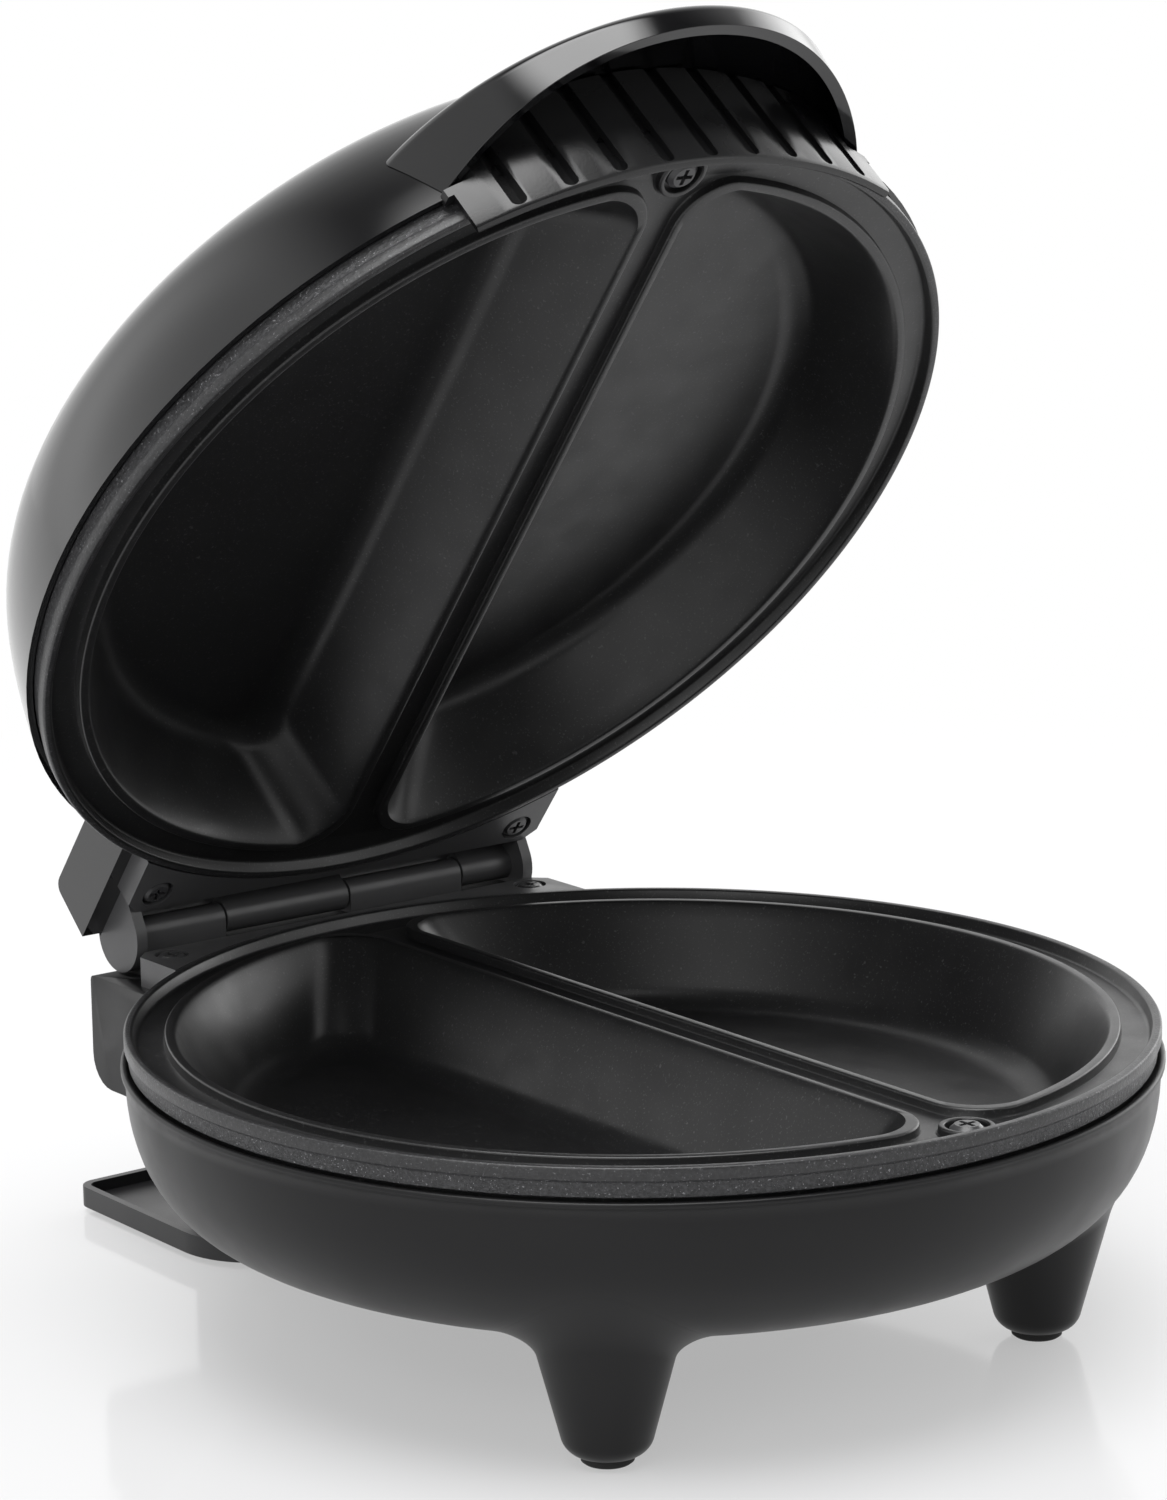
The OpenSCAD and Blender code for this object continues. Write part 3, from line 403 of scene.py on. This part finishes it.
def pocket_levels():
    """(inset, depth below the rim, corner radius) from the lip's foot to the pocket's floor."""
    slope = math.tan(POCKET_SLOPE)
    top = LIP_DROP
    levels = [(-LIP_W - LIP_FOOT_W, CHANNEL_DEPTH), (-LIP_W - 0.15, CHANNEL_DEPTH - 0.08)]
    levels += [(-LIP_W, CHANNEL_DEPTH - 0.4), (-LIP_W, top + LIP_ROUND_R)]
    round_over = arc(0, 0, LIP_ROUND_R, 0, 90, 4)[1:]
    levels += [(-LIP_W + LIP_ROUND_R - x, top + LIP_ROUND_R - z) for x, z in round_over]
    inner = top * slope
    levels += [(inner - 0.5, top), (inner - 0.18, top + 0.1), (inner + 0.1, top + 0.4)]
    fillet_z = POCKET_DEPTH - FLOOR_FILLET_R
    inset_z = fillet_z * slope + FLOOR_FILLET_R / math.cos(POCKET_SLOPE)
    wall_end = fillet_z + FLOOR_FILLET_R * math.sin(POCKET_SLOPE) - 1
    levels += [(depth * slope, depth) for depth in (1.6, 4, 8, 12, wall_end)]
    start = math.degrees(POCKET_SLOPE)
    levels += [(inset_z - x, fillet_z + z) for x, z in arc(0, 0, FLOOR_FILLET_R, start, 90, 14)]
    levels += [(inset_z + 3, POCKET_DEPTH), (inset_z + FLOOR_IN, POCKET_DEPTH)]
    return [(inset, depth, POCKET_CORNER_R + (LIP_W if inset < 0 else 0)) for inset, depth in levels]


def under_levels():
    """The same for the pocket's underside, one wall thickness out."""
    slope = math.tan(POCKET_SLOPE)
    fillet_z = POCKET_DEPTH - FLOOR_FILLET_R
    inset_z = fillet_z * slope + FLOOR_FILLET_R / math.cos(POCKET_SLOPE)
    r = FLOOR_FILLET_R + PLATE_WALL
    grow = PLATE_WALL / math.cos(POCKET_SLOPE)
    body = CHANNEL_DEPTH + PLATE_WALL
    levels = [(body * slope - grow, body)]
    levels += [(inset_z - x, fillet_z + z) for x, z in arc(0, 0, r, math.degrees(POCKET_SLOPE), 90, 10)]
    levels += [(inset_z + FLOOR_IN, POCKET_DEPTH + PLATE_WALL)]
    return [(inset, depth, POCKET_CORNER_R + PLATE_WALL) for inset, depth in levels]


def loft_pocket(bm, levels, side):
    """Joins a pocket's levels and closes its floor."""
    rings = []
    for inset, depth, corner in levels:
        rings.append([bm.verts.new((x, y, PLATE_RIM_Z - depth)) for x, y in half_moon(inset, corner, side)])
    stitch(bm, rings)
    bm.faces.new(rings[-1])


def flat_sheet(bm, outer, holes, z):
    """Flat face with holes, triangulated."""
    loops = [outer] + holes
    points = [Vector((x, y, z)) for loop in loops for x, y in loop]
    verts = [bm.verts.new(p) for p in points]
    for tri in tessellate_polygon([[Vector((x, y, z)) for x, y in loop] for loop in loops]):
        bm.faces.new([verts[i] for i in tri])


def circle(r, steps=TURN_STEPS):
    """Points of a whole circle, as (x, y)."""
    angles = [2 * math.pi * i / steps for i in range(steps)]
    return [(r * math.cos(a), r * math.sin(a)) for a in angles]


def plate_piece(node, matrix, material):
    """A cooking plate: turned rim, flat overflow channel, raised lips and two lofted pockets."""
    rim = PLATE_RIM_Z
    bm = bmesh.new()
    inner = PLATE_R - CREST_W
    floor_r = inner - CREST_FOOT_W
    floor_z = rim - CHANNEL_DEPTH
    back_z = floor_z - PLATE_WALL
    band_top = rim - SMOOTH_BAND_H
    band_foot = rim - SIDE_H
    band_r = PLATE_R - BAND_IN
    skirt_r = PLATE_R - SKIRT_IN
    profile = [(floor_r, floor_z), (floor_r + 0.35, floor_z + 0.06), (inner - 0.62, floor_z + 0.45)]
    profile += [(inner - 0.25, rim - 0.35), (inner - 0.1, rim - 0.12), (inner + 0.15, rim)]
    profile += arc(PLATE_R - CREST_ROUND_R, rim - CREST_ROUND_R, CREST_ROUND_R, 90, 0, 5)
    profile += [(PLATE_R, band_top + 0.2), (PLATE_R - 0.15, band_top), (band_r + 0.1, band_top - 0.35)]
    profile += [(band_r, band_top - 0.6), (band_r, band_foot + 0.3), (band_r - 0.3, band_foot)]
    profile += [(skirt_r, band_foot), (skirt_r, rim - SKIRT_H), (skirt_r - PLATE_WALL, rim - SKIRT_H)]
    profile += [(skirt_r - PLATE_WALL, back_z)]
    revolve(bm, profile)
    holes = [half_moon(-LIP_W - LIP_FOOT_W, POCKET_CORNER_R + LIP_W, side) for side in (1, -1)]
    flat_sheet(bm, circle(floor_r), holes, floor_z)
    under = under_levels()
    holes = [half_moon(under[0][0], under[0][2], side) for side in (1, -1)]
    flat_sheet(bm, circle(skirt_r - PLATE_WALL), holes, rim - under[0][1])
    for side in (1, -1):
        loft_pocket(bm, pocket_levels(), side)
        loft_pocket(bm, under, side)
    # boss round the fixing screw, flared at its foot and rounded at its top
    boss_z = rim - BOSS_DROP
    boss = [(BOSS_R + 0.5, floor_z), (BOSS_R + 0.15, floor_z + 0.15), (BOSS_R, floor_z + 0.5)]
    boss += arc(BOSS_R - 0.4, boss_z - 0.4, 0.4, 0, 90, 3)
    boss += arc(BOSS_HOLE_R + 0.3, boss_z - 0.3, 0.3, 90, 180, 3) + [(BOSS_HOLE_R, floor_z)]
    revolve(bm, boss, BOSS_STEPS, PLATE_SCREW_Y)
    # studs that carry the reflector, each with the screw's bore
    stud_foot = rim - STUD_DROP
    stud = [(STUD_R, back_z), (STUD_R, stud_foot), (BORE_R, stud_foot), (BORE_R, rim - BORE_TOP_DROP)]
    for y in STUD_YS:
        revolve(bm, stud, STUD_STEPS, y)
    bmesh.ops.remove_doubles(bm, verts=bm.verts, dist=MERGE_MM)
    dress(mesh_object(node + "_coated", bm, matrix, material, PLATE_SMOOTH_ANGLE), node)


def dress(obj, node):
    """Stands obj in for a CAD node: puts it on the node's body and hides the node."""
    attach(obj, BODY_OF[node])
    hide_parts(node)


def bowl_z(x, y):
    """Height of the bowl's outer face, in millimetres."""
    r = math.hypot(x, y)
    if r <= BOWL_FLOOR_R:
        return BOWL_FLOOR_Z
    out = min((r - BOWL_FLOOR_R) / (BOWL_R - BOWL_FLOOR_R), 1.0)
    top = BASE_RIM_Z - BOWL_TOP_BELOW_RIM
    return top - (top - BOWL_FLOOR_Z) * (1 - out ** BOWL_ROUND) ** (1 / BOWL_POWER)


def foot_line(side, angle):
    """Side of a foot at one angle about its axis, as (distance, height), from its tip to the bowl."""
    out = Vector((math.cos(angle), math.sin(angle)))

    def bowl(d):
        return bowl_z(side * FOOT_X + d * out.x, FOOT_Y + d * out.y)

    tip = [(FOOT_TIP_R - FOOT_ROUND_R - 0.6, PAD_T)]
    tip += arc(FOOT_TIP_R - FOOT_ROUND_R, PAD_T + FOOT_ROUND_R, FOOT_ROUND_R, 280, 350, 8)
    lean = (FOOT_TOP_R - FOOT_TIP_R) / (FOOT_TOP_Z - PAD_T - FOOT_ROUND_R)
    start_z = bowl(FOOT_TOP_R + 1) - FOOT_FILLET
    start = Vector((FOOT_TIP_R + lean * (start_z - PAD_T - FOOT_ROUND_R), start_z))
    end = Vector((FOOT_SPREAD, bowl(FOOT_SPREAD)))
    pull = FOOT_BLEND_PULL * (end - start).length
    leave = Vector((lean, 1)).normalized() * pull
    arrive = Vector((1, bowl(FOOT_SPREAD + 0.5) - bowl(FOOT_SPREAD - 0.5))).normalized() * pull
    line = []
    for i in range(FOOT_BLEND_STEPS + 1):
        t = i / FOOT_BLEND_STEPS
        p = (2 * t**3 - 3 * t**2 + 1) * start + (t**3 - 2 * t**2 + t) * leave
        p += (3 * t**2 - 2 * t**3) * end + (t**3 - t**2) * arrive
        line.append((p.x, p.y))
    return tip + line + [(FOOT_SPREAD + 1, bowl(FOOT_SPREAD + 1) + 0.15)]


def base_piece(material):
    """The base housing, with its front feet drawn again so that they flow into the bowl."""
    node = "base_housing"
    bm = bmesh.new()
    bm.from_mesh(frame["nodes"][node].data)
    bmesh.ops.remove_doubles(bm, verts=bm.verts, dist=MERGE_M)
    to_mm = TO_FRAME.inverted()
    old = []
    for face in bm.faces:
        p = to_mm @ face.calc_center_median()
        near = math.hypot(abs(p.x) - FOOT_X, p.y - FOOT_Y) < FOOT_TOP_R + OLD_FOOT_SPREAD
        if near and p.z < bowl_z(p.x, p.y) - OLD_FOOT_GAP:
            old.append(face)
    bmesh.ops.delete(bm, geom=old, context="FACES")
    bm.transform(to_mm)
    angles = [2 * math.pi * i / FOOT_STEPS for i in range(FOOT_STEPS)]
    for side in (1, -1):
        lines = [foot_line(side, a) for a in angles]
        rings = []
        for level in zip(*lines):
            places = zip(angles, level)
            rings.append([
                bm.verts.new((side * FOOT_X + d * math.cos(a), FOOT_Y + d * math.sin(a), z))
                for a, (d, z) in places
            ])
        stitch(bm, rings)
        bm.faces.new(rings[0])
    dress(mesh_object(node + "_finish", bm, TO_FRAME, material, BASE_SMOOTH_ANGLE), node)


def smooth_copy(node, material, angle, bevel_mm):
    """Stands a smooth-shaded copy of a CAD node in for it, with its hard edges just broken."""
    mesh = frame["nodes"][node].data.copy()
    bm = bmesh.new()
    bm.from_mesh(mesh)
    bmesh.ops.remove_doubles(bm, verts=bm.verts, dist=MERGE_M)
    if node not in ALL_CURVED:
        bmesh.ops.dissolve_limit(bm, angle_limit=FLAT_ANGLE, verts=bm.verts, edges=bm.edges)
    bm.to_mesh(mesh)
    bm.free()
    # the imported flat normals no longer fit the merged faces
    if "custom_normal" in mesh.attributes:
        mesh.attributes.remove(mesh.attributes["custom_normal"])
    mesh.shade_smooth()
    mesh.set_sharp_from_angle(angle=math.radians(angle))
    mesh.materials.clear()
    mesh.materials.append(material)
    obj = bpy.data.objects.new(node + "_finish", mesh)
    bpy.context.scene.collection.objects.link(obj)
    if bevel_mm:
        mod = obj.modifiers.new("edge", "BEVEL")
        mod.width = bevel_mm * MM
        mod.segments = 2
        mod.limit_method = "ANGLE"
        mod.angle_limit = BEVEL_ANGLE
        mod.harden_normals = True
    dress(obj, node)


# ---------------------------------------------------------------- materials
HINGE_COLOR = (0.075, 0.075, 0.077)
HINGE_ROUGHNESS = 0.33

FINISH = {
    "housing_satin": satin_plastic("satin charcoal", (0.009, 0.009, 0.0095), 0.36, specular=0.26),
    "housing_gloss": gloss_plastic("polished black", (0.004, 0.004, 0.0045), 0.09),
    "guard_satin": satin_plastic(
        "satin black", (0.008, 0.008, 0.0085), 0.26, grain_mm=0.6, grain_depth_mm=0.012),
    "foot_plastic": satin_plastic("foot black", (0.014, 0.014, 0.015), 0.35),
    "pad_rubber": satin_plastic(
        "rubber", (0.02, 0.02, 0.02), 0.8, grain_mm=0.9, grain_depth_mm=0.02),
    "hinge_paint": coated_metal("hinge coating", HINGE_COLOR, HINGE_ROUGHNESS),
    "dark_screw": coated_metal("blackened screw", (0.05, 0.05, 0.052), 0.3),
    "zinc_screw": bare_metal("zinc plate", (0.55, 0.55, 0.57), 0.28),
    "element_sheath": bare_metal("heater sheath", (0.35, 0.33, 0.31), 0.4),
    "reflector_sheet": bare_metal("reflector sheet", (0.7, 0.7, 0.71), 0.22),
    "brass_screw": bare_metal("brass", (0.72, 0.56, 0.28), 0.25),
    "ceramic": ceramic("ceramic", (0.78, 0.76, 0.7)),
    "red_lens": clear_plastic("red lens", (0.45, 0.01, 0.01)),
    "green_lens": clear_plastic("green lens", (0.01, 0.3, 0.04)),
    "lamp_glass": clear_plastic("lamp glass", (0.8, 0.5, 0.3)),
}

OWN_FINISH = {"base_hinge_leaf": base_leaf_coating("base hinge coating", HINGE_COLOR, HINGE_ROUGHNESS)}

# ---------------------------------------------------------------- pieces
BROKEN_EDGES_MM = {"lid_handle": 0.45, "finger_guard": 0.35, "cord_wrap_foot": 0.4}
SMOOTH_ANGLE = {"lid_hinge_leaf": 28, "base_hinge_leaf": 28}      # where the usual one is too large
DRAWN_AGAIN = ("lower_plate", "upper_plate", "base_housing")

base_piece(FINISH[SLOT_OF["base_housing"]])
for name in frame["nodes"]:
    if name not in DRAWN_AGAIN:
        finish = OWN_FINISH.get(name, FINISH[SLOT_OF[name]])
        angle = SMOOTH_ANGLE.get(name, USUAL_SMOOTH_ANGLE)
        smooth_copy(name, finish, angle, BROKEN_EDGES_MM.get(name, 0.0))

plate_piece("lower_plate", TO_FRAME, nonstick("lower nonstick", False))
plate_piece("upper_plate", LID_TO_FRAME @ TURN_OVER, nonstick("upper nonstick", True))


# ---------------------------------------------------------------- studio
FLOOR_R_M = 6.0
FLOOR_COLOR = (0.62, 0.62, 0.63)
FLOOR_ROUGHNESS = 0.09
NEAR_M, FAR_M = 0.05, 0.6           # distances between which the floor fades to plain white
NEAR_GLOW, FAR_GLOW = 0.4, 1.0


def stage_floor():
    """White sweep, a little glossy near the part and plain white further out."""
    bm = bmesh.new()
    bmesh.ops.create_circle(bm, cap_ends=True, segments=FLOOR_STEPS, radius=FLOOR_R_M)
    mesh = bpy.data.meshes.new("floor")
    bm.to_mesh(mesh)
    bm.free()
    s = Shader("floor", FLOOR_COLOR, FLOOR_ROUGHNESS)
    out = s.tree.nodes["Material Output"]
    glow = s.node("Emission", Color=(1, 1, 1, 1), Strength=1.0)
    ray = s.tree.nodes.new("ShaderNodeLightPath")
    split = s.node("SeparateXYZ", Vector=s.coords)
    far = s.ramp(s.axis_distance(split), NEAR_M, FAR_M, NEAR_GLOW, FAR_GLOW)
    seen = s.math("MAXIMUM", ray.outputs["Is Camera Ray"], ray.outputs["Is Glossy Ray"])
    mix = s.node("MixShader", Fac=s.math("MULTIPLY", far, seen))
    s.tree.links.new(s.bsdf.outputs[0], mix.inputs[1])
    s.tree.links.new(glow.outputs[0], mix.inputs[2])
    s.tree.links.new(mix.outputs[0], out.inputs["Surface"])
    mesh.materials.append(s.mat)
    floor = bpy.data.objects.new("floor", mesh)
    bpy.context.scene.collection.objects.link(floor)


# soft boxes as (direction, cosine where the light starts, cosine where it is full, strength)
SOFTBOXES = (
    ((-0.15, -0.10, 0.98), 0.88, 0.97, 7.0),    # overhead
    ((0.55, 0.83, 0.00), 0.10, 0.90, 1.10),     # white backdrop behind the part
    ((-0.85, 0.40, 0.25), 0.58, 0.80, 0.75),    # left wall
    ((0.96, 0.10, 0.15), 0.84, 0.97, 2.20),     # right
    ((0.55, -0.70, 0.45), 0.88, 0.98, 1.30),    # front right
    ((-0.78, -0.52, 0.38), 0.90, 0.98, 1.50),   # front left
)
AMBIENT = 0.06


def world():
    """White for the camera; for the part, a dim room with a few soft boxes that fade out at their edges."""
    w = bpy.data.worlds.new("studio")
    w.use_nodes = True
    tree = w.node_tree
    tree.nodes.clear()

    def node(kind, **settings):
        n = tree.nodes.new("ShaderNode" + kind)
        for key, value in settings.items():
            setattr(n, key, value)
        return n

    direction = node("TexCoord").outputs["Generated"]
    total = None
    for toward, start, full, strength in SOFTBOXES:
        dot = node("VectorMath", operation="DOT_PRODUCT")
        tree.links.new(direction, dot.inputs[0])
        dot.inputs[1].default_value = Vector(toward).normalized()
        fade = node("MapRange", interpolation_type="SMOOTHSTEP")
        tree.links.new(dot.outputs["Value"], fade.inputs["Value"])
        for socket, value in (("From Min", start), ("From Max", full), ("To Min", 0.0), ("To Max", strength)):
            fade.inputs[socket].default_value = value
        add = node("Math", operation="ADD")
        tree.links.new(fade.outputs["Result"], add.inputs[0])
        if total is None:
            add.inputs[1].default_value = AMBIENT
        else:
            tree.links.new(total, add.inputs[1])
        total = add.outputs[0]
    around = node("Background")
    tree.links.new(total, around.inputs["Strength"])
    seen = node("Background")
    seen.inputs["Color"].default_value = (1, 1, 1, 1)
    mix = node("MixShader")
    tree.links.new(node("LightPath").outputs["Is Camera Ray"], mix.inputs[0])
    tree.links.new(around.outputs[0], mix.inputs[1])
    tree.links.new(seen.outputs[0], mix.inputs[2])
    tree.links.new(mix.outputs[0], node("OutputWorld").inputs["Surface"])
    around.inputs["Color"].default_value = (1, 1, 1, 1)
    bpy.context.scene.world = w


# the photographer's place, found by fitting the round plate, lid and hood
CAMERA_AT = (-539.4, -687.05, 308.1)      # from the lower plate's axis, in millimetres
CAMERA_AZIMUTH = math.radians(-37.41)
CAMERA_ELEVATION = math.radians(12.22)
CAMERA_ROLL = math.radians(-0.74)
LENS_MM = 107.83
SENSOR_MM = 36


def camera():
    """Looks along the photograph's direction, with the roll of its horizon."""
    azimuth, elevation, roll = CAMERA_AZIMUTH, CAMERA_ELEVATION, CAMERA_ROLL
    forward = Vector((
        -math.sin(azimuth) * math.cos(elevation),
        math.cos(azimuth) * math.cos(elevation),
        -math.sin(elevation),
    ))
    right = Vector((math.cos(azimuth), math.sin(azimuth), 0))
    up = right.cross(forward)
    right, up = math.cos(roll) * right + math.sin(roll) * up, -math.sin(roll) * right + math.cos(roll) * up
    data = bpy.data.cameras.new("camera")
    data.sensor_width = SENSOR_MM
    data.lens = LENS_MM
    data.clip_start, data.clip_end = 0.05, 20
    obj = bpy.data.objects.new("camera", data)
    place = TO_FRAME @ Vector(CAMERA_AT)
    turn = Matrix((right, up, -forward)).transposed()
    obj.matrix_world = Matrix.Translation(place) @ turn.to_4x4()
    bpy.context.scene.collection.objects.link(obj)
    bpy.context.scene.camera = obj


bpy.context.scene.view_settings.view_transform = "Standard"
stage_floor()
world()
camera()
